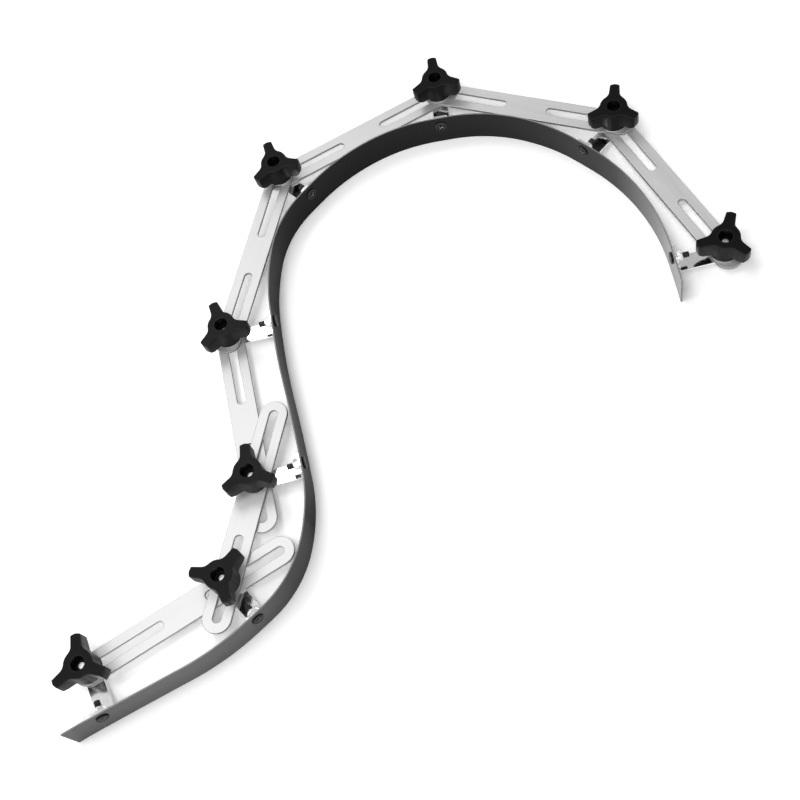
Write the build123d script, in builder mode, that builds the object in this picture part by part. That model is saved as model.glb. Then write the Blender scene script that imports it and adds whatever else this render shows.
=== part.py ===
# Flexible curve ruler
# A springy strip stands on edge and takes any curve. Eight L brackets are screwed to its back. Slotted
# links lie across the brackets, and a three-armed knob on each bracket's bolt clamps the stack, which
# holds the curve. Millimetres and degrees, +Z up. Z = 0 is the surface that the strip's edge stands on.
# The origin is on that edge, in the middle of the strip's thickness, at the fourth bracket. X and Y lie
# in the plane of the curve, with the brackets on the strip's left as it runs from its first end.

from build123d import *
from math import cos, hypot, radians, sin
import os

# Strip
strip_height = 31.0
strip_thickness = 1.2
station_pitch = 134.0  # between brackets, measured along the strip
strip_tail = 29.5  # from the last bracket's middle to the strip's end

# Curve that the strip is clamped in. It bends evenly over each half span and each tail, and lies flat
# against a bracket's leg. A positive turn is to the left.
home_station = 4
home_heading = 99.5  # direction of the strip at the origin, from +X
span_turns = (
    (-0.5, 16),
    (38, 23),
    (2, -5.5),
    (-16.5, -35.5),
    (-21, -23),
    (-25.5, -20.5),
    (-19, -19),
)
tail_turns = (-2, -2)

# Bracket, bent from flat bar
bracket_width = 14.0
bracket_thickness = 2.0
bend_radius = 1.0  # inside the bend
strap_height = 7.5  # underside of the strap above the table
strap_overhang = 7.0  # strap beyond the bolt's axis
leg_drop = 0.5  # leg's top below the strip's top
bracket_corner = 2.0  # rounding of the strap's and the leg's ends
bolt_reach = 41.4  # bolt's axis from the strip's back

# Link
link_width = 23.5
link_thickness = 2.5
link_web = 37.0  # solid middle between the two slots
slot_play = 1.2  # slot's width over the bolt's diameter
most_outward_bend = 49.0  # sharpest bend of one span that the slots can still reach round

# Where each link lies along its two bolts, as a share of the slide that its slots leave it. At 0 it lies
# as far as it can towards its first bolt, at 1 as far as it can towards its second.
link_slide_shares = (0.97, 0.87, 0.04, 0.2, 0.72, 0.74, 0.48)
upper_links = (2, 4, 6)  # these lie on their neighbours

# Carriage bolt
bolt_diameter = 6.0
bolt_length = 18.0
bolt_head_diameter = 16.0
bolt_head_height = 3.5
bolt_end_chamfer = 0.6

# Clamp washer
washer_diameter = 22.0
washer_thickness = 1.2
washer_play = 0.4  # hole's diameter over the bolt's

# Knob
knob_height = 20.0
knob_tip_radius = 23.4
knob_hub_radius = 11.6
arm_root_width = 11.0
arm_tip_width = 8.0
arm_tip_point = 1.0  # how far the middle of an arm's end stands out from its corners
arm_base = 5.2  # underside of the arms above the hub's base
arm_bevel = 4.0  # slope cut off the arm's lower end
arm_root_fillet = 7.5
knob_edge = 0.5
knob_bore_diameter = 11.5
knob_bore_depth = 9.0
knob_arms = 3
knob_turns = (102, 52, 98.5, 112.5, 108.5, 96.5, 82.5, 72)  # direction of one arm, from +X

# Hexagon nut held in the knob
nut_across_flats = 10.0
nut_thickness = 5.0
nut_recess = 0.3  # nut's face inside the hub's base

# Strip screw with its washer and lock nut
screw_drop = 10.5  # screw's axis below the strip's top
screw_diameter = 5.0
screw_length = 14.0
screw_play = 0.5  # hole's diameter over the screw's
screw_head_diameter = 10.2
screw_head_height = 1.3
screw_head_round = 0.9
recess_length = 5.2
recess_width = 1.1
recess_depth = 1.0
leg_washer_diameter = 12.0
leg_washer_thickness = 1.0
lock_nut_across_flats = 8.0
lock_nut_hex = 3.6
lock_nut_collar = 0.8
lock_nut_collar_diameter = 7.2

# Fits
thread_clearance = 0.05  # a nut's bore round its bolt, on the radius
pocket_clearance = 0.05  # a hexagon or square in its hole, on each side
link_gap = 0.05  # between a link, a washer or a knob and what it lies on
overrun = 1.0  # how far a cut runs past the face that it opens

# Sizes that follow from the ones above
station_count = len(span_turns) + 1
strip_half = strip_thickness / 2
bolt_offset = strip_half + bolt_reach  # bolt's axis from the strip's middle line
clamp_half = bracket_width / 2
half_span = (station_pitch - bracket_width) / 2
tail_run = strip_tail - clamp_half
screw_height = strip_height - screw_drop
leg_top = strip_height - leg_drop
strap_top = strap_height + bracket_thickness
lower_link_base = strap_top + link_gap
upper_link_base = lower_link_base + link_thickness + link_gap
slot_width = bolt_diameter + slot_play
slot_inner = (link_web + slot_width) / 2  # nearest that a bolt comes to the link's middle
slot_outer = (station_pitch + bolt_offset * radians(most_outward_bend)) / 2  # and furthest
bore_floor = knob_height - knob_bore_depth


def follow(place, sections):
    """Walk along the strip from a place, (x, y, heading), through sections of (length, turn)."""
    x, y, heading = place
    for length, turn in sections:
        start, end = radians(heading), radians(heading + turn)
        if turn:
            radius = length / (end - start)
            x += radius * (sin(end) - sin(start))
            y -= radius * (cos(end) - cos(start))
        else:
            x += length * cos(start)
            y += length * sin(start)
        heading += turn
    return x, y, heading


def backwards(sections):
    """The same sections walked from their other end."""
    return [(-length, -turn) for length, turn in reversed(sections)]


def beside(place, shift):
    """The point that lies a shift to the left of a place."""
    x, y, heading = place
    return x - shift * sin(radians(heading)), y + shift * cos(radians(heading))


def along(place):
    """Unit vector along the strip at a place."""
    return Vector(cos(radians(place[2])), sin(radians(place[2])), 0)


def across(place):
    """Unit vector square to the strip at a place, towards the bolts."""
    return Vector(-sin(radians(place[2])), cos(radians(place[2])), 0)


def span(number):
    """The strip's sections from a station's middle to the next one's."""
    first, second = span_turns[number - 1]
    return [(clamp_half, 0), (half_span, first), (half_span, second), (clamp_half, 0)]


stations = {home_station: (0, 0, home_heading)}
for number in range(home_station, station_count):
    stations[number + 1] = follow(stations[number], span(number))
for number in range(home_station, 1, -1):
    stations[number - 1] = follow(stations[number], backwards(span(number - 1)))
tail = [(clamp_half, 0), (tail_run, tail_turns[0])]
strip_start = follow(stations[1], [(-length, -turn) for length, turn in tail])
strip_sections = [(tail_run, tail_turns[0])]
for first, second in span_turns:
    strip_sections += [(bracket_width, 0), (half_span, first), (half_span, second)]
strip_sections += [(bracket_width, 0), (tail_run, tail_turns[1])]


def profile_plane(place, shift, height):
    """Upright plane through the bracket's middle: X points to the bolts, Y points up."""
    x, y = beside(place, shift)
    return Plane(origin=(x, y, height), x_dir=across(place), z_dir=along(place))


def screw_plane(place, shift):
    """Plane of the strip screw at a shift from the strip's middle line, facing the bolts."""
    x, y = beside(place, shift)
    return Plane(origin=(x, y, screw_height), x_dir=-along(place), z_dir=across(place))


def bolt_plane(place, height):
    """Level plane centred on the station's bolt, with X square to the strip."""
    x, y = beside(place, bolt_offset)
    return Plane(origin=(x, y, height), x_dir=across(place), z_dir=(0, 0, 1))


def save(piece, name):
    """Label a finished sub-part and write its STEP file."""
    piece.label = name
    export_step(piece, f"parts/{name}.step")


# Strip: one band of tangent arcs, pierced for the bracket screws


def strip_side(shift):
    """Draw one long side of the strip's outline as tangent arcs and flats."""
    place = strip_start
    for length, turn in strip_sections:
        next_place = follow(place, [(length, turn)])
        if turn:
            radius = abs(length / radians(turn) - shift)
            JernArc(beside(place, shift), along(place), radius, turn)
        else:
            Line(beside(place, shift), beside(next_place, shift))
        place = next_place
    return beside(strip_start, shift), beside(place, shift)


def make_strip():
    with BuildPart() as strip:
        with BuildSketch() as outline:
            with BuildLine():
                back_start, back_end = strip_side(strip_half)
                front_start, front_end = strip_side(-strip_half)
                Line(back_start, front_start)
                Line(back_end, front_end)
            make_face()
        extrude(amount=strip_height)
        for place in stations.values():
            with BuildSketch(screw_plane(place, 0)) as hole:
                Circle((screw_diameter + screw_play) / 2)
            extrude(amount=strip_half + overrun, both=True, mode=Mode.SUBTRACT)
    save(strip.part, "strip")


# Bracket: flat bar bent to an L, with a square hole for the bolt's neck


def make_bracket(number):
    place = stations[number]
    inner = strip_half + bracket_thickness
    tip = bolt_offset + strap_overhang
    with BuildPart() as bracket:
        with BuildSketch(profile_plane(place, 0, 0)) as profile:
            with BuildLine():
                Polyline(
                    (strip_half, leg_top),
                    (strip_half, strap_height),
                    (tip, strap_height),
                    (tip, strap_top),
                    (inner, strap_top),
                    (inner, leg_top),
                    close=True,
                )
            make_face()
            outer_corner = profile.vertices().sort_by_distance((strip_half, strap_height, 0))[0]
            fillet(outer_corner, bend_radius + bracket_thickness)
            inner_corner = profile.vertices().sort_by_distance((inner, strap_top, 0))[0]
            fillet(inner_corner, bend_radius)
        extrude(amount=clamp_half, both=True)
        out = Axis((0, 0, 0), across(place))
        strap_end = bracket.faces().sort_by(out)[-1]
        fillet(strap_end.edges().filter_by(Axis.Z), bracket_corner)
        leg_end = bracket.faces().sort_by(Axis.Z)[-1]
        fillet(leg_end.edges().filter_by(out), bracket_corner)
        with BuildSketch(bolt_plane(place, strap_height)) as neck_hole:
            hole_width = bolt_diameter + 2 * pocket_clearance
            Rectangle(hole_width, hole_width)
        extrude(amount=bracket_thickness, mode=Mode.SUBTRACT)
        with BuildSketch(screw_plane(place, strip_half)) as screw_hole:
            Circle((screw_diameter + screw_play) / 2)
        extrude(amount=bracket_thickness, mode=Mode.SUBTRACT)
    save(bracket.part, f"bracket_{number}")


# Carriage bolt: domed head under the strap, square neck in its hole, shank up through the knob


def make_bolt(number):
    place = stations[number]
    dome_plane = profile_plane(place, bolt_offset, strap_height)
    with BuildPart() as bolt:
        with BuildSketch(dome_plane) as dome:
            with BuildLine():
                rim = (bolt_head_diameter / 2, 0)
                crown = (0, -bolt_head_height)
                TangentArc(crown, rim, tangent=(1, 0))
                Line(rim, (0, 0))
                Line((0, 0), crown)
            make_face()
        revolve(axis=Axis(dome_plane.origin, (0, 0, 1)))
        with BuildSketch(bolt_plane(place, strap_height)) as neck:
            Rectangle(bolt_diameter, bolt_diameter)
        extrude(amount=bracket_thickness)
        with BuildSketch(bolt_plane(place, strap_height)) as shank:
            Circle(bolt_diameter / 2)
        extrude(amount=bolt_length)
        chamfer(bolt.faces().sort_by(Axis.Z)[-1].edges(), bolt_end_chamfer)
    save(bolt.part, f"pivot_bolt_{number}")


# Link: a round-ended bar with a slot for each of its two bolts


def make_link(number):
    first = beside(stations[number], bolt_offset)
    second = beside(stations[number + 1], bolt_offset)
    run_x, run_y = second[0] - first[0], second[1] - first[1]
    distance = hypot(run_x, run_y)
    nearest = max(slot_inner, distance - slot_outer)
    furthest = min(slot_outer, distance - slot_inner)
    share = link_slide_shares[number - 1]
    lead = nearest + share * (furthest - nearest)  # from the first bolt to the link's middle
    base = upper_link_base if number in upper_links else lower_link_base
    middle = (first[0] + run_x * lead / distance, first[1] + run_y * lead / distance, base)
    with BuildPart() as link:
        with BuildSketch(Plane(origin=middle, x_dir=(run_x, run_y, 0), z_dir=(0, 0, 1))) as bar:
            SlotCenterToCenter(2 * slot_outer, link_width)
            with Locations(((slot_inner + slot_outer) / 2, 0), (-(slot_inner + slot_outer) / 2, 0)):
                SlotCenterToCenter(slot_outer - slot_inner, slot_width, mode=Mode.SUBTRACT)
        extrude(amount=link_thickness)
    save(link.part, f"link_{number}")


# Clamp stack: washer, knob and the nut inside the knob


def stack_top(number):
    """Top of the uppermost link at a station. The two end stations carry one link only."""
    ends = (1, station_count)
    base = lower_link_base if number in ends else upper_link_base
    return base + link_thickness


def make_washer(number):
    with BuildPart() as washer:
        base = stack_top(number) + link_gap
        with BuildSketch(bolt_plane(stations[number], base)) as ring:
            Circle(washer_diameter / 2)
            Circle((bolt_diameter + washer_play) / 2, mode=Mode.SUBTRACT)
        extrude(amount=washer_thickness)
    save(washer.part, f"clamp_washer_{number}")


def knob_base(number):
    return stack_top(number) + link_gap + washer_thickness + link_gap


def make_knob(number):
    place = stations[number]
    x, y = beside(place, bolt_offset)
    turn = radians(knob_turns[number - 1])
    turned = Plane(origin=(x, y, knob_base(number)), x_dir=(cos(turn), sin(turn), 0), z_dir=(0, 0, 1))
    upright = Plane(origin=turned.origin, x_dir=turned.x_dir, z_dir=-turned.y_dir)
    shoulder = knob_tip_radius - arm_tip_point
    with BuildPart() as knob:
        with BuildSketch(turned.offset(arm_base)):
            Circle(knob_hub_radius)
            with PolarLocations(0, knob_arms):
                Polygon(
                    (0, -arm_root_width / 2),
                    (shoulder, -arm_tip_width / 2),
                    (knob_tip_radius, 0),
                    (shoulder, arm_tip_width / 2),
                    (0, arm_root_width / 2),
                    align=None,
                )
        extrude(amount=knob_height - arm_base)
        roots = knob.edges().filter_by(Axis.Z).sort_by_distance(turned.origin)
        fillet(roots[: 2 * knob_arms], arm_root_fillet)
        with BuildSketch(upright) as bevel:
            with BuildLine():
                Polyline(
                    (knob_tip_radius - arm_bevel, arm_base),
                    (knob_tip_radius + overrun, arm_base),
                    (knob_tip_radius + overrun, arm_base + arm_bevel + overrun),
                    close=True,
                )
            make_face()
        revolve(axis=Axis(turned.origin, (0, 0, 1)), mode=Mode.SUBTRACT)
        chamfer(knob.faces().sort_by(Axis.Z)[-1].edges(), knob_edge)
        with BuildSketch(turned) as hub:
            Circle(knob_hub_radius)
        extrude(amount=arm_base)
        with BuildSketch(turned) as pocket:
            pocket_flat = nut_across_flats / 2 + pocket_clearance
            RegularPolygon(pocket_flat, 6, major_radius=False)
        extrude(amount=nut_recess + nut_thickness, mode=Mode.SUBTRACT)
        with BuildSketch(turned) as through:
            Circle((bolt_diameter + washer_play) / 2)
        extrude(amount=bore_floor + overrun, mode=Mode.SUBTRACT)
        with BuildSketch(turned.offset(bore_floor)) as bore:
            Circle(knob_bore_diameter / 2)
        extrude(amount=knob_bore_depth + overrun, mode=Mode.SUBTRACT)
    save(knob.part, f"knob_{number}")

    with BuildPart() as nut:
        with BuildSketch(turned.offset(nut_recess)) as hexagon:
            RegularPolygon(nut_across_flats / 2, 6, major_radius=False)
            Circle(bolt_diameter / 2 + thread_clearance, mode=Mode.SUBTRACT)
        extrude(amount=nut_thickness)
    save(nut.part, f"knob_nut_{number}")


# Strip screw: head on the strip's face, washer and lock nut behind the bracket's leg


def make_screw_set(number):
    place = stations[number]
    with BuildPart() as screw:
        with BuildSketch(screw_plane(place, -strip_half)) as head:
            Circle(screw_head_diameter / 2)
        extrude(amount=-screw_head_height)
        out = Axis((0, 0, 0), -across(place))
        front = screw.faces().sort_by(out)[-1]
        fillet(front.edges(), screw_head_round)
        with BuildSketch(screw_plane(place, -strip_half - screw_head_height)) as recess:
            Rectangle(recess_length, recess_width)
            Rectangle(recess_width, recess_length)
        extrude(amount=recess_depth, mode=Mode.SUBTRACT)
        with BuildSketch(screw_plane(place, -strip_half)) as shank:
            Circle(screw_diameter / 2)
        extrude(amount=screw_length)

    washer_seat = strip_half + bracket_thickness
    with BuildPart() as leg_washer:
        with BuildSketch(screw_plane(place, washer_seat)) as ring:
            Circle(leg_washer_diameter / 2)
            Circle((screw_diameter + screw_play) / 2, mode=Mode.SUBTRACT)
        extrude(amount=leg_washer_thickness)

    nut_seat = washer_seat + leg_washer_thickness
    with BuildPart() as lock_nut:
        with BuildSketch(screw_plane(place, nut_seat)) as hexagon:
            RegularPolygon(lock_nut_across_flats / 2, 6, major_radius=False)
        extrude(amount=lock_nut_hex)
        with BuildSketch(screw_plane(place, nut_seat + lock_nut_hex)) as collar:
            Circle(lock_nut_collar_diameter / 2)
        extrude(amount=lock_nut_collar)
        with BuildSketch(screw_plane(place, nut_seat)) as bore:
            Circle(screw_diameter / 2 + thread_clearance)
        extrude(amount=lock_nut_hex + lock_nut_collar, mode=Mode.SUBTRACT)

    screw.part.label = "screw"
    leg_washer.part.label = "leg_washer"
    lock_nut.part.label = "lock_nut"
    save(Compound(children=[screw.part, leg_washer.part, lock_nut.part]), f"screw_set_{number}")


os.makedirs("parts", exist_ok=True)
make_strip()
for number in range(1, station_count + 1):
    make_bracket(number)
    make_bolt(number)
    make_washer(number)
    make_knob(number)
    make_screw_set(number)
for number in range(1, station_count):
    make_link(number)
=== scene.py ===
# %% [markdown]
# # A flexible curve ruler
# The real ruler is a band of spring steel that stands on edge. Eight plated brackets are screwed to its
# back, slotted aluminium links tie the brackets together, and a three-armed plastic knob on each
# bracket's bolt clamps the curve that the band has been pushed into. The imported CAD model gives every
# solid and joint. This lesson dresses it: each solid keeps its place and gets its real finish, and the
# pieces whose looks need more than the solid has are made again, finer, round the same centres.

# %% Load the frame
import bmesh
import bpy
import numpy as np
from math import radians
from mathutils import Matrix, Vector
from mathutils.geometry import tessellate_polygon


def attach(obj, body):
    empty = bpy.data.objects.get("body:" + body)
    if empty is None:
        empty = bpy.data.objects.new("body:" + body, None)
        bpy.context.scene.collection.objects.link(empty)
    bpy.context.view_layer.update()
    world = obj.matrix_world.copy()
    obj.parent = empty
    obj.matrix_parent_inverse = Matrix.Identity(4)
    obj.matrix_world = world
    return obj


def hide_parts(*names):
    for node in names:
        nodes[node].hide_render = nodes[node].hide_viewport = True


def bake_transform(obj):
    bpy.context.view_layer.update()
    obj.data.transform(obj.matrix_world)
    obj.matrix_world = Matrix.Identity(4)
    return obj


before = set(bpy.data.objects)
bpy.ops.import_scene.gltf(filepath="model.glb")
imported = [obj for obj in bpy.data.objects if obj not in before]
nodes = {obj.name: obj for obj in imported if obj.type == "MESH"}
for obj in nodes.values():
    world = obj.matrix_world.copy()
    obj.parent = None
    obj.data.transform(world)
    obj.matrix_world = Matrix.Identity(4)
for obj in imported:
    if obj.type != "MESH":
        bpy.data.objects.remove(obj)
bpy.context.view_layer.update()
mm = 0.001

# %% [markdown]
# ## The camera
# The photograph looks down on the ruler at about sixty degrees, from the front and a little from the
# right. Direction and distance were worked out from the places of the eight knobs, whose sizes are known.
# A camera needs a place and three directions, so the matrix is written from those, with no constraint.

# %% Stand the camera where the photograph was taken
photo_place = Vector((0.26603, -0.47792, 0.8247))
photo_right = Vector((0.9810, 0.0, -0.1939))
photo_forward = Vector((-0.1747, 0.4337, -0.8840))
photo_up = photo_right.cross(photo_forward).normalized()
lens = bpy.data.cameras.new("photo_lens")
lens.sensor_width, lens.lens = 36, 51.87
lens.clip_start, lens.clip_end = 0.01, 50
camera = bpy.data.objects.new("photo_camera", lens)
bpy.context.scene.collection.objects.link(camera)
camera.matrix_world = Matrix.Translation(photo_place) @ Matrix(
    (photo_right, photo_up, -photo_forward)).transposed().to_4x4()
bpy.context.scene.camera = camera
bpy.context.scene.view_settings.view_transform = "Standard"
print("camera height above the table in mm:", round(photo_place.z / mm))

# %% [markdown]
# ## Light and table
# The photograph is a cut-out look: a white table and short soft shadows close to the object. A broad lamp
# in front lights the knobs' sides. Three smaller ones, at the left, behind and overhead, make the left
# links shine and draw the dark rim of shadow along the strip. White walls stand all round and the ceiling
# is dimmer, least so at the left, which is why the knobs' flat tops are darker than their sides. The
# white of the background comes from what camera and mirror rays see, never from more light.

# %% Tell camera and mirror rays from the rays that carry light
def wire(tree, kind, *inputs, **settings):
    """Add a node of a kind, set its settings, and fill its inputs in order: a socket is linked, a number
    is written, and None leaves the input as it is."""
    node = tree.nodes.new("ShaderNode" + kind)
    for name, value in settings.items():
        setattr(node, name, value)
    for socket, value in zip(node.inputs, inputs):
        if isinstance(value, bpy.types.NodeSocket):
            tree.links.new(value, socket)
        elif value is not None:
            socket.default_value = value
    return node


def seen_ray(tree):
    """A socket that is 1 for camera, mirror and glass rays and 0 for the rays that carry light."""
    path = wire(tree, "LightPath")
    mirror = wire(tree, "Math", path.outputs["Is Glossy Ray"], path.outputs["Is Transmission Ray"],
                  operation="MAXIMUM")
    return wire(tree, "Math", path.outputs["Is Camera Ray"], mirror.outputs[0],
                operation="MAXIMUM").outputs[0]


def between(tree, share, low, high, first=0.0, last=1.0):
    """A socket that goes from low to high as a share goes from first to last, and stays within them."""
    return wire(tree, "MapRange", share, first, last, low, high).outputs["Result"]


# %% Paint the room
world_light = 0.39  # all that the room lights the ruler with; the levels below are only seen
wall_level, ceiling_left, ceiling_right = 1.0, 0.8, 0.5
left_part, right_part = -0.48, -0.3  # X of a ray of length 1 where the ceiling's change starts and ends
wall_part, ceiling_part = 0.3, 0.7  # and Z where wall gives way to ceiling
world = bpy.data.worlds.new("studio_room")
world.use_nodes = True
room = world.node_tree
sky = room.nodes["Background"]
sky.inputs["Color"].default_value = (1, 1, 1, 1)
ways = wire(room, "SeparateXYZ", wire(room, "TexCoord").outputs["Generated"]).outputs
overhead = between(room, ways["X"], ceiling_left, ceiling_right, left_part, right_part)
above = between(room, ways["Z"], 0.0, 1.0, wall_part, ceiling_part)
walls = wire(room, "Mix", above, None, wall_level, overhead).outputs[0]
strength = wire(room, "Mix", seen_ray(room), None, world_light, walls)
room.links.new(strength.outputs[0], sky.inputs["Strength"])
bpy.context.scene.world = world

# %% Lay the table
# Its paper is seen whiter than it is lit, and further out a glow joins in, so that no horizon shows.
table_size, table_centre = 8.0, Vector((0.12, -0.05, 0.0))
paper_lit, paper_seen, fade_start, fade_end = 0.8, 1.35, 0.6, 1.6
table_mesh = bpy.data.meshes.new("table")
sides = ((-1, -1), (1, -1), (1, 1), (-1, 1))
table_mesh.from_pydata([table_centre + table_size / 2 * Vector((x, y, 0)) for x, y in sides], [],
                       [(0, 1, 2, 3)])
table = bpy.data.objects.new("table", table_mesh)
bpy.context.scene.collection.objects.link(table)

paper = bpy.data.materials.new("table_paper")
paper.use_nodes = True
tree = paper.node_tree
tree.nodes.clear()
seen = seen_ray(tree)
dull = wire(tree, "BsdfDiffuse", between(tree, seen, paper_lit, paper_seen))
away = wire(tree, "VectorMath", wire(tree, "TexCoord").outputs["Object"], operation="LENGTH")
level = between(tree, away.outputs["Value"], 0.0, 1.0, fade_start, fade_end)
shown = wire(tree, "Math", seen, level, operation="MULTIPLY")
glow = wire(tree, "Emission", None, shown.outputs[0])
both = wire(tree, "AddShader", dull.outputs[0], glow.outputs[0])
wire(tree, "OutputMaterial", both.outputs[0])
table_mesh.materials.append(paper)

# %% Hang the lamps
def soft_lamp(name, place, size, power):
    """A square lamp of a given size that faces the middle of the ruler."""
    data = bpy.data.lights.new(name, "AREA")
    data.shape, data.size, data.energy = "SQUARE", size, power
    lamp = bpy.data.objects.new(name, data)
    lamp.location = place
    lamp.rotation_euler = (table_centre - Vector(place)).to_track_quat("-Z", "Y").to_euler()
    bpy.context.scene.collection.objects.link(lamp)


soft_lamp("front_lamp", (0.12, -0.85, 1.5), 0.8, 7)
soft_lamp("left_lamp", (-1.0, -0.45, 1.6), 0.5, 3.5)
soft_lamp("back_lamp", (-0.4, 0.7, 1.5), 0.6, 5)
soft_lamp("top_lamp", (-0.25, -0.2, 1.8), 0.5, 5.3)

# %% [markdown]
# ## Finishes
# Each finish is one Principled shader. What changes over the surface, such as brushing, moulded grain
# and scuffs, comes from noise. A fine noise gives the grain and a broad one the clouding that handling
# leaves. Both read the object's own coordinates, and on the strip those of the straightened strip, so the
# pattern stays put when the part moves and bends. Where a piece has the attribute "edge", which is 1
# along its worn or cut edges, the finish goes over to a second colour and roughness there. On the links'
# sheared walls that colour is darker, partly as painted shade, and on the walls of the screws' cross
# recess it is lighter, partly as a painted glint. What doesn't change is written on the shader's own
# sockets.

# %% A finish whose grain moves its colour, roughness and relief
cloud_size, cloud_share = 14 * mm, 0.45
noise_low, noise_high, noise_detail = 0.32, 0.68, 4.0  # noise keeps between these nearly everywhere
least_wear_and_painted_light, most_wear_and_painted_light, patch_low, patch_high = 0.3, 1.2, 0.35, 0.6


def finish(name, colours, roughness, grain, relief, edge=None, stretch=(1, 1, 1), turn=0.0,
           strip=False, **fixed):
    """One material. Grain and clouding together pick between two colours and two roughnesses, and the
    grain lifts the surface by a relief in metres. edge is the colour and roughness along edges: worn
    ones, the links' walls in painted shade and the screws' recess walls with a painted glint. fixed names
    sockets that keep one value."""
    material = bpy.data.materials.new(name)
    material.use_nodes = True
    tree = material.node_tree
    shader = tree.nodes["Principled BSDF"]
    for socket, value in fixed.items():
        shader.inputs[socket.replace("_", " ")].default_value = value
    if strip:
        where = wire(tree, "Attribute", attribute_name="unbent").outputs["Vector"]
    else:
        where = wire(tree, "TexCoord").outputs["Object"]
    noises = []
    for size in (grain, cloud_size):
        laid = wire(tree, "Mapping", where, None, (0, 0, turn), [size * share for share in stretch],
                    vector_type="TEXTURE")
        noise = wire(tree, "TexNoise", laid.outputs[0])
        noise.inputs["Scale"].default_value, noise.inputs["Detail"].default_value = 1.0, noise_detail
        noises.append(noise.outputs["Fac"])
    mixed = wire(tree, "Mix", cloud_share, None, *noises).outputs[0]
    share = between(tree, mixed, 0.0, 1.0, noise_low, noise_high)
    colour = wire(tree, "Mix", share, data_type="RGBA")
    colour.inputs[6].default_value, colour.inputs[7].default_value = [(*tone, 1) for tone in colours]
    colour, rough = colour.outputs[2], between(tree, share, *roughness)
    # The edge finish: wear on most pieces, painted shade on the links' walls and a painted glint in the
    # screws' recesses, broken up by the clouding.
    if edge:
        wear_and_painted_light_at = wire(tree, "Attribute", attribute_name="edge").outputs["Fac"]
        patches = between(tree, mixed, least_wear_and_painted_light, most_wear_and_painted_light, patch_low, patch_high)
        patchy = wire(tree, "Math", wear_and_painted_light_at, patches, operation="MULTIPLY", use_clamp=True).outputs[0]
        wear_and_painted_light_mix = wire(tree, "Mix", patchy, data_type="RGBA")
        tree.links.new(colour, wear_and_painted_light_mix.inputs[6])
        wear_and_painted_light_mix.inputs[7].default_value = (*edge[0], 1)
        colour = wear_and_painted_light_mix.outputs[2]
        rough = wire(tree, "Mix", patchy, None, rough, edge[1]).outputs[0]
    tree.links.new(colour, shader.inputs["Base Color"])
    tree.links.new(rough, shader.inputs["Roughness"])
    bump = wire(tree, "Bump", None, relief, None, noises[0])
    tree.links.new(bump.outputs["Normal"], shader.inputs["Normal"])
    return material


def grey(*levels):
    """Neutral greys as colour triples."""
    return [(level, level, level) for level in levels]


knob_plastic = finish("black_moulded_plastic", grey(0.0015, 0.004), (0.34, 0.5), 0.4 * mm, 0.02 * mm,
                      edge=(*grey(0.025), 0.3), Specular_IOR_Level=0.12)
bright_plate = finish("bright_plate", grey(0.84, 0.95), (0.06, 0.18), 3 * mm, 0.006 * mm, Metallic=1.0)
plate_edge = finish("bright_plate_edge", grey(0.55, 0.8), (0.15, 0.3), 1 * mm, 0.01 * mm, Metallic=1.0)
bright_steel = finish("zinc_plated_steel", grey(0.8, 0.93), (0.28, 0.42), 1 * mm, 0.01 * mm,
                      edge=(*grey(0.95), 0.15), Metallic=1.0)
# Its lighter edge colour is bare metal on the rim, and in the recess also a painted glint.
black_screw = finish("black_oxide", grey(0.002, 0.006), (0.2, 0.34), 0.6 * mm, 0.01 * mm,
                     edge=(*grey(0.5), 0.2), Specular_IOR_Level=0.05)
strip_steel = finish("black_spring_steel", grey(0.004, 0.008), (0.14, 0.24), 0.5 * mm, 0.002 * mm,
                     edge=(*grey(0.3), 0.3), stretch=(40, 1, 1), strip=True)
print("finishes:", [m.name for m in bpy.data.materials if m.users == 0])

# %% [markdown]
# ## The strip's painted sheen
# The strip is seen to shine near its ends and to be dull from a quarter to almost half of its length.
# That is painted sheen, standing for where the strip's reflection falls brighter or darker. A second
# noise couldn't put that in its place, so a colour ramp along the straightened strip paints it into the
# specular level.

# %% Painted sheen: specular levels along the strip
# The levels paint the strip's sheen: high where its reflection shows bright, low where it shows dull.
painted_sheen_at = ((0.0, 0.25), (0.07, 0.4), (0.155, 0.5), (0.2, 0.14), (0.25, 0.014), (0.45, 0.008), (0.56, 0.07),
            (0.7, 0.12), (0.87, 0.14), (0.93, 0.6), (1.0, 1.0))  # metres along the strip, and level
tree = strip_steel.node_tree
along = wire(tree, "SeparateXYZ", wire(tree, "Attribute", attribute_name="unbent").outputs["Vector"])
painted_sheen_ramp = wire(tree, "ValToRGB", along.outputs["X"])
painted_sheen_stops = painted_sheen_ramp.color_ramp.elements
for metres, _ in painted_sheen_at[1:-1]:
    painted_sheen_stops.new(metres)
for stop, (metres, level) in zip(painted_sheen_stops, painted_sheen_at):
    stop.position, stop.color = metres, (*grey(level)[0], 1)
tree.links.new(painted_sheen_ramp.outputs["Color"], tree.nodes["Principled BSDF"].inputs["Specular IOR Level"])
print("gloss stops along the strip:", len(painted_sheen_stops))

# %% [markdown]
# ## The strip
# The band is 1.2 mm of steel bent smoothly from bracket to bracket. The CAD has it as one solid, but it
# has to bend when a joint moves, so it's made again as a profile carried along the band's middle line:
# one flat with a screw hole at each bracket, which moves with it, and one span between each two.

# %% The middle line of the strip
pitch, tail, flat = 134 * mm, 29.5 * mm, 14 * mm  # between brackets, past the end ones, behind each
run, tail_run = (pitch - flat) / 2, tail - flat / 2
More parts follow.
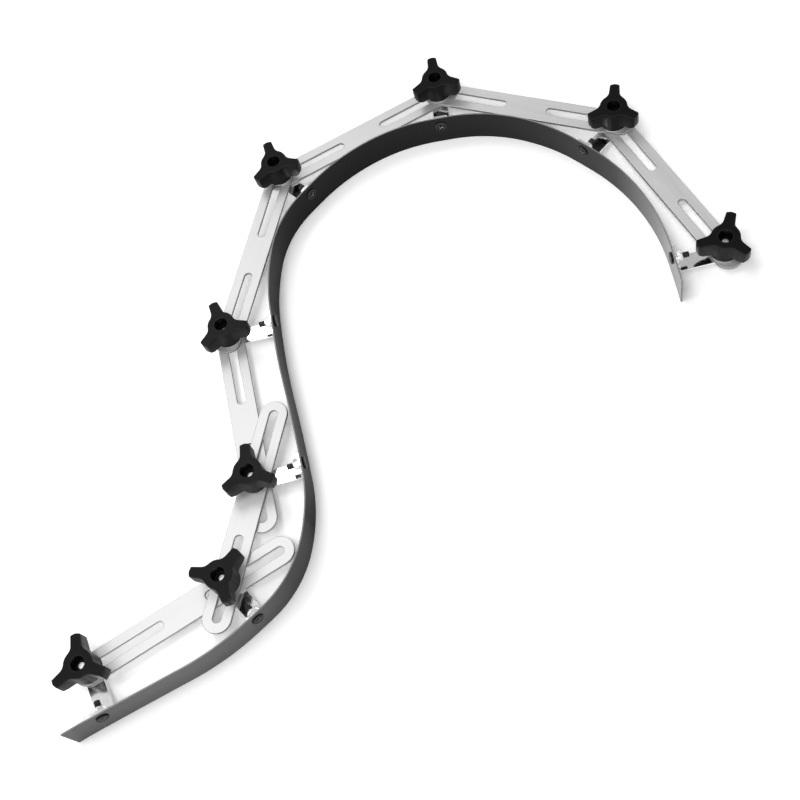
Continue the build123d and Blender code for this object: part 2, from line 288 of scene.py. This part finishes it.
# Degrees that the two halves of each span turn, then those of the tails and the heading at the home bracket.
span_turns = np.array([(-0.5, 16), (38, 23), (2, -5.5), (-16.5, -35.5), (-21, -23), (-25.5, -20.5),
                       (-19, -19)])
tail_turns, home, home_heading = (-2.0, -2.0), 4, 99.5
lengths = np.concatenate([[tail_run], np.tile([flat, run, run], len(span_turns)), [flat, tail_run]])
turns = np.radians(np.concatenate([
    tail_turns[:1], np.column_stack([np.zeros(len(span_turns)), span_turns]).ravel(), [0, tail_turns[1]]]))
starts = np.concatenate([[0], np.cumsum(lengths)])
station_at = tail + pitch * np.arange(len(span_turns) + 1)


def arc(x, y, heading, length, turn):
    """End of an arc of a length and turn. Its chord is length times sin(turn / 2) over turn / 2, and
    points halfway between the first and the last heading."""
    chord = length * np.sinc(turn / (2 * np.pi))
    return x + chord * np.cos(heading + turn / 2), y + chord * np.sin(heading + turn / 2), heading + turn


headings = np.concatenate([[0], np.cumsum(turns)])
headings += radians(home_heading) - headings[3 * home - 2]
steps = arc(0.0, 0.0, headings[:-1], lengths, turns)
corner_x, corner_y = (np.concatenate([[0], np.cumsum(step)]) for step in steps[:2])


def strip_line(distance):
    """Place and heading on the middle line at a distance from its first end: the section that holds the
    distance, then an arc of what is left."""
    section = np.clip(np.searchsorted(starts, distance, side="right") - 1, 0, len(lengths) - 1)
    left = distance - starts[section]
    return arc(corner_x[section], corner_y[section], headings[section], left,
               turns[section] * left / lengths[section])


home_x, home_y, _ = strip_line(station_at[home - 1])
corner_x, corner_y = corner_x - home_x, corner_y - home_y
print("strip length in mm:", round(lengths.sum() / mm, 1))

# %% [markdown]
# ## How a piece is made
# Most pieces are one profile carried along or round something: the band's along its curve, a washer's
# round its axis, a knob's round its outline. So each is a whole array of rings of points, worked out at
# once, and one function joins any such array into a closed mesh.

# %% A closed mesh from points and faces
weld, crisp = 1e-7, radians(35)


def closed_piece(name, points, faces, material, edge, unbent=None):
    """A piece from points and faces. Meeting points, as at a pole, become one, faces point outward, and
    corners over 35 degrees stay crisp. edge is each point's share of the edge finish, which is wear and, on
    the links' walls and in the screws' recesses, painted shade and glint; unbent is its straightened place."""
    mesh = bpy.data.meshes.new(name)
    mesh.from_pydata(points, [], faces)
    wear_and_painted_light = np.ascontiguousarray(edge, dtype=np.float32)
    mesh.attributes.new("edge", "FLOAT", "POINT").data.foreach_set("value", wear_and_painted_light)
    if unbent is not None:
        straight = unbent.astype(np.float32).ravel()
        mesh.attributes.new("unbent", "FLOAT_VECTOR", "POINT").data.foreach_set("vector", straight)
    shell = bmesh.new()
    shell.from_mesh(mesh)
    bmesh.ops.remove_doubles(shell, verts=shell.verts, dist=weld)
    bmesh.ops.recalc_face_normals(shell, faces=shell.faces)
    if shell.calc_volume(signed=True) < 0:
        bmesh.ops.reverse_faces(shell, faces=shell.faces)
    shell.to_mesh(mesh)
    shell.free()
    mesh.shade_smooth()
    mesh.set_sharp_from_angle(angle=crisp)
    mesh.materials.append(material)
    piece = bpy.data.objects.new(name, mesh)
    bpy.context.scene.collection.objects.link(piece)
    return piece


def ring_quads(count, points_round, joined):
    """Corner numbers of the faces between each ring and the next, and from the last to the first."""
    corners = np.arange(count * points_round).reshape(count, points_round)
    loop = np.vstack([corners, corners[:1]]) if joined else corners
    near, far = loop[:-1], loop[1:]
    return np.stack([near, np.roll(near, -1, 1), np.roll(far, -1, 1), far], -1).reshape(-1, 4)


def surface(name, rings, material, capped=True, edge=0.0, unbent=None):
    """A closed mesh from an array of rings, points round each, and coordinates. The end rings are
    capped, or else joined to each other. edge gives the share of the edge finish, wear and in places painted
    light, of all, of each ring or of each point."""
    count, points_round = rings.shape[:2]
    first = np.arange(points_round)
    caps = [first[::-1].tolist(), (first + (count - 1) * points_round).tolist()] if capped else []
    faces = ring_quads(count, points_round, not capped).tolist() + caps
    wear_and_painted_light = np.array(edge, dtype=float)
    wear_and_painted_light = np.broadcast_to(wear_and_painted_light[:, None] if wear_and_painted_light.ndim == 1 else wear_and_painted_light, (count, points_round)).ravel()
    return closed_piece(name, rings.reshape(-1, 3), faces, material, wear_and_painted_light, unbent)


def on_strip(distance, across, height):
    """Points beside the middle line: across is to the left of the heading there."""
    x, y, heading = strip_line(distance)
    return np.stack(np.broadcast_arrays(
        x - across * np.sin(heading), y + across * np.cos(heading), height), -1)


# %% The strip's cross-section and its spans
strip_height, strip_half, strip_edge = 31 * mm, 0.6 * mm, 0.3 * mm
bodies = {n: f"station_{n}" for n in range(1, len(station_at) + 1)}
bodies[home] = "strip_with_station_4"
quarter = np.radians(np.linspace(0, 90, 5))
edge_out = np.append(strip_half, strip_half - strip_edge + strip_edge * np.cos(quarter))
edge_in = np.append(2 * strip_edge, strip_edge * (1 - np.sin(quarter)))  # one more row keeps the face flat
edge_wear = np.array([0, 0, 0.6, 1, 1, 1, 1, 1, 1, 0.6, 0, 0])
span_rings, tail_rings = 61, 13
profile_across = np.concatenate([edge_out, -edge_out[::-1], -edge_out, edge_out[::-1]])
profile_height = np.concatenate([
    strip_height - edge_in, strip_height - edge_in[::-1], edge_in, edge_in[::-1]])


def strip_piece(name, rings, straight, capped, edge):
    """A piece of the strip. It keeps its straightened coordinates in the attribute unbent."""
    piece = surface(name, rings, strip_steel, capped, edge, straight)
    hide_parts("strip")
    return piece


def strip_run(name, first, last, count):
    """The cross-section carried along the middle line from one distance to another."""
    distance = np.linspace(first, last, count)[:, None]
    rings = on_strip(distance, profile_across, profile_height)
    straight = np.stack(np.broadcast_arrays(distance, profile_across, profile_height), -1)
    wear_and_painted_light = np.broadcast_to(np.tile(edge_wear, 2), rings.shape[:2])
    return strip_piece(name, rings, straight, True, wear_and_painted_light)


for number in range(1, len(station_at)):
    first, last = station_at[number - 1] + flat / 2, station_at[number] - flat / 2
    piece = strip_run(f"strip_span_{number}", first, last, span_rings)
    start, end = on_strip(np.array([first, last]), 0.0, strip_height / 2)
    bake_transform(piece)
for name, number, first, last in (
        ("strip_start", 1, 0.0, tail_run), ("strip_end", len(station_at), starts[-2], starts[-1])):
    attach(strip_run(name, first, last, tail_rings), bodies[number])
print("strip spans:", len(station_at) - 1)

# %% The flat behind each bracket, pierced for its screw
# Lines run out from the hole in every direction to the nearer of the flat's ends and edges.
screw_height, screw_hole = 20.5 * mm, 2.75 * mm
above_screw, hole_step = strip_height - screw_height, 5
corner_angles = np.arctan2([above_screw, above_screw, -screw_height, -screw_height],
                           [flat / 2, -flat / 2, -flat / 2, flat / 2])
angle = np.sort(np.concatenate([np.radians(np.arange(hole_step / 2 - 180, 180, hole_step)), corner_angles]))
side_reach = flat / 2 / np.abs(np.cos(angle))
end_reach = np.where(np.sin(angle) > 0, above_screw, screw_height) / np.abs(np.sin(angle))
rim_reach = np.minimum(side_reach, end_reach)
rim_along = rim_reach * np.cos(angle)
rim_height = screw_height + rim_reach * np.sin(angle)
hole_along, hole_height = screw_hole * np.cos(angle), screw_height + screw_hole * np.sin(angle)


def strip_flat(number):
    """A plate with a hole. Each point round the hole has a line out to the rim on the front, round the
    edge, and back to the hole on the back."""
    across = np.concatenate([[strip_half], edge_out, -edge_out[::-1], [-strip_half]])[:, None]
    inset = np.concatenate([[0], edge_in, edge_in[::-1], [0]])[:, None]
    along = np.vstack([hole_along, np.tile(rim_along, (len(across) - 2, 1)), hole_along])
    height = np.clip(np.vstack([
        hole_height, np.tile(rim_height, (len(across) - 2, 1)), hole_height]),
        inset, strip_height - inset)
    distance = station_at[number - 1] + along
    rings = on_strip(distance, across, height)
    straight = np.stack(np.broadcast_arrays(distance, across, height), -1)
    piece = strip_piece(f"strip_flat_{number}", rings, straight, False, np.pad(edge_wear, 1))
    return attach(piece, bodies[number])


for number in bodies:
    strip_flat(number)
print("strip flats:", len(bodies))

# %% [markdown]
# ## Frames for the pieces at a bracket
# Every screw, bolt, washer and knob is round something, so it's worked out about its own axis and then
# stood in place. A frame is a foot and three directions. Its third direction is the axis.

# %% Stand a shape on its axis
bolt_offset = 42 * mm
around = np.radians(np.arange(0, 360, 5))


def stand(axes, x, y, z):
    """World points from coordinates along a frame's three directions."""
    foot, *ways = axes
    return foot + sum(np.asarray(part)[..., None] * way for part, way in zip((x, y, z), ways))


def turned(axes, radius, height):
    """Rings round an axis. Radius and height are given for each ring, or for each ring and angle."""
    radius, height = (value if value.ndim == 2 else value[:, None] for value in (radius, height))
    radius, height = np.broadcast_arrays(radius, height, around[None])[:2]
    return stand(axes, radius * np.cos(around), radius * np.sin(around), height)


def bolt_frame(number, height, turn=None):
    """Upright frame on a bracket's bolt. It points away from the strip, or in a direction in degrees."""
    x, y, heading = strip_line(station_at[number - 1])
    away = heading + np.pi / 2
    foot = np.array([x + bolt_offset * np.cos(away), y + bolt_offset * np.sin(away), height])
    way = away if turn is None else radians(turn)
    return (foot, np.array([np.cos(way), np.sin(way), 0]), np.array([-np.sin(way), np.cos(way), 0]),
            np.array([0, 0, 1]))


def screw_frame(number, across, outward, turn=0.0):
    """Level frame on a bracket's screw. It points to the bolt where outward is 1, away from it at -1."""
    heading = strip_line(station_at[number - 1])[2]
    foot = on_strip(station_at[number - 1], across, screw_height)
    level = np.array([np.cos(heading), np.sin(heading), 0])
    axis = outward * np.array([-np.sin(heading), np.cos(heading), 0])
    side = np.cross(axis, level)
    return (foot, level * np.cos(turn) + side * np.sin(turn), side * np.cos(turn) - level * np.sin(turn),
            axis)


def polygon(sides, flats, angle=around):
    """Radius of a regular polygon, given across its flats, in directions round the axis."""
    step = 2 * np.pi / sides
    return flats / 2 / np.cos((angle + step / 2) % step - step / 2)


rings_per_pitch = 6


def thread(nominal, lead, depth, first, last, point):
    """Radius and height of a threaded stretch. The radius dips by a triangle wave of height over lead
    less the angle's share of a turn, and the last bit narrows to a point."""
    height = np.arange(first, last, np.sign(last - first) * lead / rings_per_pitch)[:, None]
    wave = np.abs(2 * ((height / lead - around / (2 * np.pi)) % 1) - 1)
    started = np.clip(np.abs(height - first) / lead, 0, 1)
    narrow = nominal - np.clip(point - np.abs(last - height), 0, None)
    return np.minimum(nominal - depth * wave * started, narrow), np.broadcast_to(height, wave.shape)


def stack(*rows):
    """Rings of radius and height, from single rings as (radius, height) and from whole arrays."""
    full = [[np.broadcast_to(value, (1, len(around))) if np.ndim(value) < 2 else value for value in row]
            for row in rows]
    return [np.vstack(part) for part in zip(*full)]


def on_body(piece, body, node):
    """Let a finished piece ride on a body, and hide the CAD node that it stands for."""
    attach(piece, body)
    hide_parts(node)


# %% [markdown]
# ## Washers
# A stamped washer is flat with softened corners. Its profile is a rounded rectangle carried round the
# axis. The clamp washer lies under the knob, and the leg washer under the strip screw's lock nut.

# %% Clamp washers and leg washers
washer_ease, stamped_wear = 0.25 * mm, 0.6


def washer(name, axes, bore, rim, thickness):
    """A flat ring. Each corner of its profile is a quarter circle of the ease's radius, and on the wide
    flats one more ring beside it keeps them flat."""
    ease, lean = washer_ease, np.radians([0, 30, 60, 90, 90])
    inner, half_width = np.array([0, 0, 0, 0, ease]), (rim - bore) / 2
    out = half_width - ease + ease * np.cos(lean) - inner
    up = thickness / 2 - ease + ease * np.sin(lean)
    radius = (bore + rim) / 2 + np.concatenate([out, -out[::-1], -out, out[::-1]])
    height = thickness / 2 + np.concatenate([up, up[::-1], -up, -up[::-1]])
    return surface(name, turned(axes, radius, height), bright_steel, False, edge=stamped_wear)


link_base, link_thickness, gap = 9.55 * mm, 2.5 * mm, 0.05 * mm
washer_thickness = 1.2 * mm
washer_base = {n: link_base + link_thickness + gap if n in (1, len(station_at))
               else link_base + 2 * (link_thickness + gap) for n in bodies}
leg_face, leg_washer_thickness = 2.6 * mm, 1.0 * mm
washer_bore, washer_rim, leg_washer_rim = 3.2 * mm, 11 * mm, 6 * mm
for number, body in bodies.items():
    piece = washer(f"washer_ring_{number}", bolt_frame(number, washer_base[number]), washer_bore,
                   washer_rim, washer_thickness)
    on_body(piece, body, f"clamp_washer_{number}")
    piece = washer(f"leg_washer_{number}", screw_frame(number, leg_face, 1), screw_hole, leg_washer_rim,
                   leg_washer_thickness)
    on_body(piece, body, f"screw_set_{number}")
print("washers:", 2 * len(bodies))

# %% [markdown]
# ## Screws, lock nuts and carriage bolts
# A screw could be a plain rod in the render's frame, but close by its thread is what makes it a screw. A
# helical thread is one formula on the grid of angle and height, so it costs nothing to be right. The
# cross recess is cut by the same grid: the head's surface dips where a point lies in one of two bars.

# %% The strip screws, with a low round head and a cross recess
screw_radius, screw_length, screw_lead, screw_groove, screw_point = np.array([2.5, 14, 0.8, 0.4, 0.5]) * mm
head_radius, head_height, head_round = 5.1 * mm, 1.3 * mm, 0.9 * mm
bar_half, bar_reach, bar_slope, bar_fade, recess_depth = np.array([0.75, 2.6, 0.25, 1.0, 1.0]) * mm
crown = np.linspace(0, 2.7, 13) * mm
screw_turn, rim_wear = 0.7, 0.12
lesser, larger = np.sort(np.abs([np.cos(around), np.sin(around)]), 0)


def strip_screw(number):
    """Head from its crown to its rim, then the underside, the threaded shank and its pointed end. In the
    recess the head dips by the depth times how far the point lies inside the nearer bar. The recess's
    walls are lighter, partly bare where the driver bites and partly a painted glint."""
    flank_radius = head_radius - head_round + head_round * np.sin(quarter)
    flank_height = head_height - head_round + head_round * np.cos(quarter)
    radius = np.concatenate([crown, flank_radius, [screw_radius]])[:, None]
    height = np.concatenate([np.full(len(crown), head_height), flank_height, [0]])[:, None]
    inside = np.clip((bar_half - radius * lesser) / bar_slope, 0, 1) * np.clip(
        (bar_reach - radius * larger) / bar_fade, 0, 1)
    head = np.broadcast_to(radius, inside.shape), height - recess_depth * inside
    shank = thread(screw_radius, screw_lead, screw_groove, 0, -screw_length, screw_point)
    radius, height = stack(head, (screw_radius, 0.0), shank, (0.0, -screw_length))
    edge = np.full(radius.shape, rim_wear)
    edge[:len(crown)] = 0
    # Lighter recess walls: bare metal where the driver bites, and a painted glint.
    edge[:len(inside)] += 4 * inside * (1 - inside)
    axes = screw_frame(number, -strip_half, -1, turn=screw_turn * number)
    return surface(f"strip_screw_{number}", turned(axes, radius, height), black_screw, True, edge=edge)


# %% The lock nuts, with chamfered corners and a round collar
nut_flats, nut_bore, nut_cut, cut_slope, nut_wear = 8 * mm, 2.55 * mm, 3.9 * mm, radians(60), 0.5
nut_levels = np.array([0, 0.2, 0.4, 3.2, 3.4, 3.6]) * mm
collar = mm * np.array([(3.7, 3.6), (3.6, 3.7), (3.6, 4.1), (3.45, 4.3), (3.1, 4.4), (2.7, 4.4),
                        (2.55, 4.25)])


def lock_nut(number):
    """A hexagon whose corners are cut by a cone at each face, then a collar, then back down the bore."""
    cone = nut_cut + np.minimum(nut_levels, nut_levels[::-1]) * np.tan(cut_slope)
    body = np.minimum(polygon(6, nut_flats), cone[:, None])
    radius, height = stack((body, np.broadcast_to(nut_levels[:, None], body.shape)), *collar,
                           (nut_bore, 0.0))
    axes = screw_frame(number, leg_face + leg_washer_thickness, 1)
    return surface(f"lock_nut_{number}", turned(axes, radius, height), bright_steel, False, edge=nut_wear)


# %% The carriage bolts, with a domed head and a square neck
bolt_foot, neck_height, neck_corner, bolt_wear = 7.5 * mm, 2 * mm, 4.1 * mm, 0.4
bolt_radius, bolt_length, bolt_lead, bolt_groove, bolt_point = np.array([3, 18, 1, 0.5, 0.6]) * mm
dome_radius, dome_height = 8 * mm, 3.5 * mm


def carriage_bolt(number):
    """A dome of one arc from the crown to the rim, the head's flat back, the square neck, whose radius is
    half its side over the larger of cosine and sine, then the threaded shank up into the knob."""
    bow = (dome_radius ** 2 + dome_height ** 2) / (2 * dome_height)
    tilt = np.linspace(0, np.arcsin(dome_radius / bow), 13)
    dome = zip(bow * np.sin(tilt), bow * (1 - np.cos(tilt)) - dome_height)
    neck = np.minimum(bolt_radius / larger, neck_corner)[None]
    shank = thread(bolt_radius, bolt_lead, bolt_groove, neck_height, bolt_length, bolt_point)
    radius, height = stack(*dome, (neck, 0.0), (neck, neck_height), shank,
                           (bolt_radius - bolt_point, bolt_length), (0.0, bolt_length))
    axes = bolt_frame(number, bolt_foot)
    return surface(f"carriage_bolt_{number}", turned(axes, radius, height), bright_steel, True,
                   edge=bolt_wear)


for number, body in bodies.items():
    on_body(strip_screw(number), body, f"screw_set_{number}")
    on_body(lock_nut(number), body, f"screw_set_{number}")
    on_body(carriage_bolt(number), body, f"pivot_bolt_{number}")
print("screws, lock nuts and bolts:", 3 * len(bodies))

# %% [markdown]
# ## Knobs
# Each knob is moulded: three arms run off a round hub in broad hollow curves, every upper edge is
# rounded, and the arms' lower ends slope away. The solid has all that in plain faces. Here the outline
# is worked out once as tangent arcs, each point with the direction that faces out of the plastic, so the
# same outline can be drawn in by any amount. That gives the rounded edges.

# %% The outline of a knob
def bow_points(centre, radius, first, last, count, hollow=False):
    """Points and outward directions on an arc between two angles in degrees. A hollow arc faces in."""
    angle = np.radians(np.linspace(first, last, count))
    ray = np.stack([np.cos(angle), np.sin(angle)], -1)
    return np.asarray(centre) + radius * ray, -ray if hollow else ray


hub, reach, root_half, tip_half, tip_point = 11.6 * mm, 23.4 * mm, 5.5 * mm, 4 * mm, 1 * mm
root_round, corner_round, end_round = 7.5 * mm, 1.2 * mm, 4 * mm
side_lean = np.degrees(np.arctan2(reach - tip_point, root_half - tip_half))  # direction the side faces
end_lean = np.degrees(np.arctan2(tip_point, tip_half))  # and half of the arm's end
facing = np.array([bow_points((0, 0), 1, lean, lean, 1)[1][0] for lean in (side_lean, end_lean)])
side_line, end_line = facing[0] @ (0, root_half), facing[1] @ (reach, 0)
hollow_at = side_lean - np.degrees(np.arccos((side_line + root_round) / (hub + root_round)))
hollow_centre = bow_points((0, 0), hub + root_round, hollow_at, hollow_at, 1)[0][0]
corner_centre = np.linalg.solve(facing, (side_line - corner_round, end_line - corner_round))
end_centre = ((end_line - end_round) / facing[1, 0], 0)
halves = [bow_points((0, 0), hub, 60, hollow_at, 7),
          bow_points(hollow_centre, root_round, hollow_at + 180, side_lean + 180, 9, hollow=True),
          bow_points(corner_centre, corner_round, side_lean, end_lean, 6),
          bow_points(end_centre, end_round, end_lean, 0, 4)]
half_arm = np.hstack([np.vstack(part) for part in zip(*halves)])
arm = np.vstack([half_arm, (half_arm * (1, -1, 1, -1))[-2:0:-1]])
spins = np.radians([0, -120, -240])
turns_of = np.stack([np.cos(spins), np.sin(spins), -np.sin(spins), np.cos(spins)], -1).reshape(3, 2, 2)
outline, facing_out = (np.concatenate([part @ turn for turn in turns_of])
                       for part in (arm[:, :2], arm[:, 2:]))
outline_angle, outline_radius = np.arctan2(*outline.T[::-1]), np.hypot(*outline.T)
print("points round a knob:", len(outline))

# %% The knobs, as rings from the hub's base up the outside and down through the bore
knob_top, arm_base, arm_slope, bore, bore_floor = 20 * mm, 5.2 * mm, 4 * mm, 5.75 * mm, 11 * mm
shaft_hole, pocket, pocket_depth = 3.2 * mm, 10.1 * mm, 5.3 * mm
soft, ease, margin = 0.4 * mm, 0.7 * mm, 0.3 * mm  # lower edges, upper edges, and the ring beside them
mid_soft = 0.3 * soft  # how far in the middle of a rounded lower edge lies
slope_wear, bore_wear, arm_blend = 0.5, 0.8, 1 * mm
knob_turns = 102, 52, 98.5, 112.5, 108.5, 96.5, 82.5, 72  # degrees, where one arm of each points


def knob_rings():
    """Coordinates and wear of every ring. The arms' underside is level as far as their slope, then rises
    as fast as it runs out. An eased edge draws the outline in by a quarter circle."""
    on_arm = np.clip((outline_radius - hub) / arm_blend, 0, 1)

    def row(x, y, level, wear_and_painted_light):
        return np.stack(np.broadcast_arrays(x, y, level, wear_and_painted_light), -1)

    def ring(radius, level, wear_and_painted_light=0.0):
        return row(radius * np.cos(outline_angle), radius * np.sin(outline_angle), level, wear_and_painted_light)

    def drawn(depth, level, wear_and_painted_light=0.0):
        return row(*(outline.T - depth * facing_out.T), level, wear_and_painted_light)

    def underside(depth):
        inner = np.hypot(*(outline - (depth * on_arm)[:, None] * facing_out).T)
        return arm_base + np.maximum(inner - (reach - arm_slope), 0)

    hexagon = polygon(6, pocket, outline_angle)
    level_part = np.minimum(outline_radius - soft * on_arm, reach - arm_slope)
    rows = [ring(hexagon, 0), ring(hub - soft, 0), ring(hub, soft), ring(hub, arm_base),
            ring(level_part, arm_base), drawn(soft * on_arm, underside(soft)),
            drawn(mid_soft * on_arm, underside(0) + mid_soft * on_arm, slope_wear),
            drawn(0, underside(0) + soft * on_arm), drawn(0, knob_top - ease - margin)]
    for lean in quarter:
        rows.append(drawn(ease * (1 - np.cos(lean)), knob_top - ease * (1 - np.sin(lean)), np.sin(2 * lean)))
    rows += [drawn(ease + margin, knob_top), ring(bore + ease, knob_top),
             ring(bore + margin / 2, knob_top, bore_wear), ring(bore, knob_top - margin / 2, bore_wear),
             ring(bore, knob_top - ease), ring(bore, bore_floor), ring(shaft_hole, bore_floor),
             ring(shaft_hole, pocket_depth), ring(hexagon, pocket_depth)]
    return np.stack(rows)


rings = knob_rings()
for number in bodies:
    axes = bolt_frame(number, washer_base[number] + washer_thickness + gap, knob_turns[number - 1])
    piece = surface(f"knob_grip_{number}", stand(axes, *rings[..., :3].transpose(2, 0, 1)), knob_plastic,
                    False, edge=rings[..., 3])
    on_body(piece, f"knob_{number}", f"knob_{number}")
print("knobs:", len(bodies), "with", len(rings), "rings each")

# %% [markdown]
# ## Links
# The links are punched from aluminium bar, brushed along their length and slightly rolled over at their
# edges, with dull walls where the punch sheared them; those walls are also darker, which is painted shade.
# A plate with two slots isn't one grid, so each of its three outlines is carried round the edge's profile,
# and the flats between them are filled. The brushing is noise stretched along the link, so each link has
# a finish turned its own way.

# %% A plate with slots
link_half, slot_half, slot_inner = 11.75 * mm, 3.6 * mm, 22.1 * mm
link_ease, link_margin = 0.4 * mm, 0.35 * mm
most_outward_bend = 49  # sharpest bend in degrees that the slots still reach round
slot_outer = (pitch + bolt_offset * radians(most_outward_bend)) / 2
link_slide_shares = 0.97, 0.87, 0.04, 0.2, 0.72, 0.74, 0.48


def round_ended(middle, spread, radius, count, hollow=False):
    """Outline of a bar with half round ends, whose centres lie this far to both sides of its middle."""
    ends = [bow_points((middle + spread * side, 0), radius, first, first + 180, count, hollow)
            for side, first in ((1, -90), (-1, 90))]
    return [np.concatenate(part) for part in zip(*ends)]


def slotted_plate(name, axes, outlines, thickness, material):
    """Outlines carried round an edge profile: in from the edge on top, down the wall and in again below.
    The flats between the outlines are cut into triangles."""
    lean = np.radians(np.linspace(0, 90, 4))
    inset = np.concatenate([[link_ease + link_margin], link_ease * (1 - np.sin(lean))])
    inset = np.concatenate([inset, inset[::-1]])
    drop = np.concatenate([[0], link_ease * (1 - np.cos(lean))])
    level = np.concatenate([thickness - drop, drop[::-1]])
    # The rounded edges and walls take the edge finish: duller where the punch sheared them, and darker as
    # painted shade.
    wear_and_painted_light = np.concatenate([[0, 0], np.ones(len(inset) - 4), [0, 0]])
    points, faces, sheared_and_shaded_edges, flats, total = [], [], [], [[], []], 0
    for outline, outward in outlines:
        rings = outline - inset[:, None, None] * outward
        points.append(stand(axes, rings[..., 0], rings[..., 1], level[:, None]).reshape(-1, 3))
        sheared_and_shaded_edges.append(np.repeat(wear_and_painted_light, len(outline)))
        faces += (ring_quads(len(inset), len(outline), False) + total).tolist()
        for face, ring in zip(flats, (0, len(inset) - 1)):
            face.append((np.arange(len(outline)) + ring * len(outline) + total, rings[ring]))
        total += len(inset) * len(outline)
    for face in flats:
        numbers = np.concatenate([part for part, _ in face])
        loops = [[Vector((x, y, 0)) for x, y in ring] for _, ring in face]
        faces += numbers[np.array(tessellate_polygon(loops))].tolist()
    return closed_piece(name, np.vstack(points), faces, material, np.concatenate(sheared_and_shaded_edges))


# %% The seven links, upper ones over their neighbours
def link_frame(number):
    """Frame on a link's middle, along the line of its two bolts. A slide share of 0 puts it as far
    towards its first bolt as its slots allow, and 1 towards its second."""
    first, second = (bolt_frame(n, link_base + (number % 2 == 0) * (link_thickness + gap))[0]
                     for n in (number, number + 1))
    distance = np.linalg.norm(second - first)
    along = (second - first) / distance
    nearest, furthest = max(slot_inner, distance - slot_outer), min(slot_outer, distance - slot_inner)
    lead = nearest + link_slide_shares[number - 1] * (furthest - nearest)
    return first + lead * along, along, np.array([-along[1], along[0], 0]), np.array([0, 0, 1])


slot_middle, slot_reach = (slot_inner + slot_outer) / 2, (slot_outer - slot_inner) / 2
end_points, slot_points = 33, 13
link_outlines = [round_ended(0, slot_outer, link_half, end_points)] + [
    round_ended(side * slot_middle, slot_reach, slot_half, slot_points, hollow=True) for side in (1, -1)]
for number in range(1, len(station_at)):
    axes = link_frame(number)
    # The edge colour darkens the link walls: sheared metal, and painted shade.
    brushed = finish(f"brushed_aluminium_{number}", grey(0.58, 0.7), (0.5, 0.64), 0.3 * mm, 0.003 * mm,
                     edge=(*grey(0.32), 0.55), stretch=(60, 1, 1), turn=np.arctan2(*axes[1][1::-1]),
                     Metallic=1.0)
    piece = slotted_plate(f"slotted_link_{number}", axes, link_outlines, link_thickness, brushed)
    on_body(piece, f"link_{number}", f"link_{number}")
print("links:", number, "each", round(2 * (slot_outer + link_half) / mm, 1), "mm long")

# %% [markdown]
# ## Brackets
# The brackets are bent from flat bar and bright plated, so they mirror what is round them. Their solids
# have the right bends and holes, and only lack the small rounding that catches the light. So each is a
# merged copy of its solid with a narrow Bevel, and the Bevel's own faces take a duller edge finish.

# %% Brackets with eased edges
bracket_ease, same_place, same_plane = 0.25 * mm, 0.001 * mm, radians(1)


def eased_copy(name, node, width, *materials):
    """A node's mesh with its triangles merged and its flats joined, and a live Bevel on its corners."""
    mesh = nodes[node].data.copy()
    mesh.name = name
    shell = bmesh.new()
    shell.from_mesh(mesh)
    bmesh.ops.remove_doubles(shell, verts=shell.verts, dist=same_place)
    bmesh.ops.dissolve_limit(shell, angle_limit=same_plane, verts=shell.verts, edges=shell.edges)
    shell.to_mesh(mesh)
    shell.free()
    mesh.materials.clear()
    for material in materials:
        mesh.materials.append(material)
    mesh.shade_smooth()
    mesh.set_sharp_from_angle(angle=crisp)
    piece = bpy.data.objects.new(name, mesh)
    bpy.context.scene.collection.objects.link(piece)
    bevel = piece.modifiers.new("eased_edges", "BEVEL")
    bevel.width, bevel.segments, bevel.angle_limit = width, 2, crisp
    bevel.harden_normals, bevel.material = True, 1
    return piece


for number, body in bodies.items():
    piece = eased_copy(f"angle_bracket_{number}", f"bracket_{number}", bracket_ease, bright_plate,
                       plate_edge)
    on_body(piece, body, f"bracket_{number}")
    nodes[f"knob_nut_{number}"].material_slots[0].material = bright_steel
print("brackets:", len(bodies))
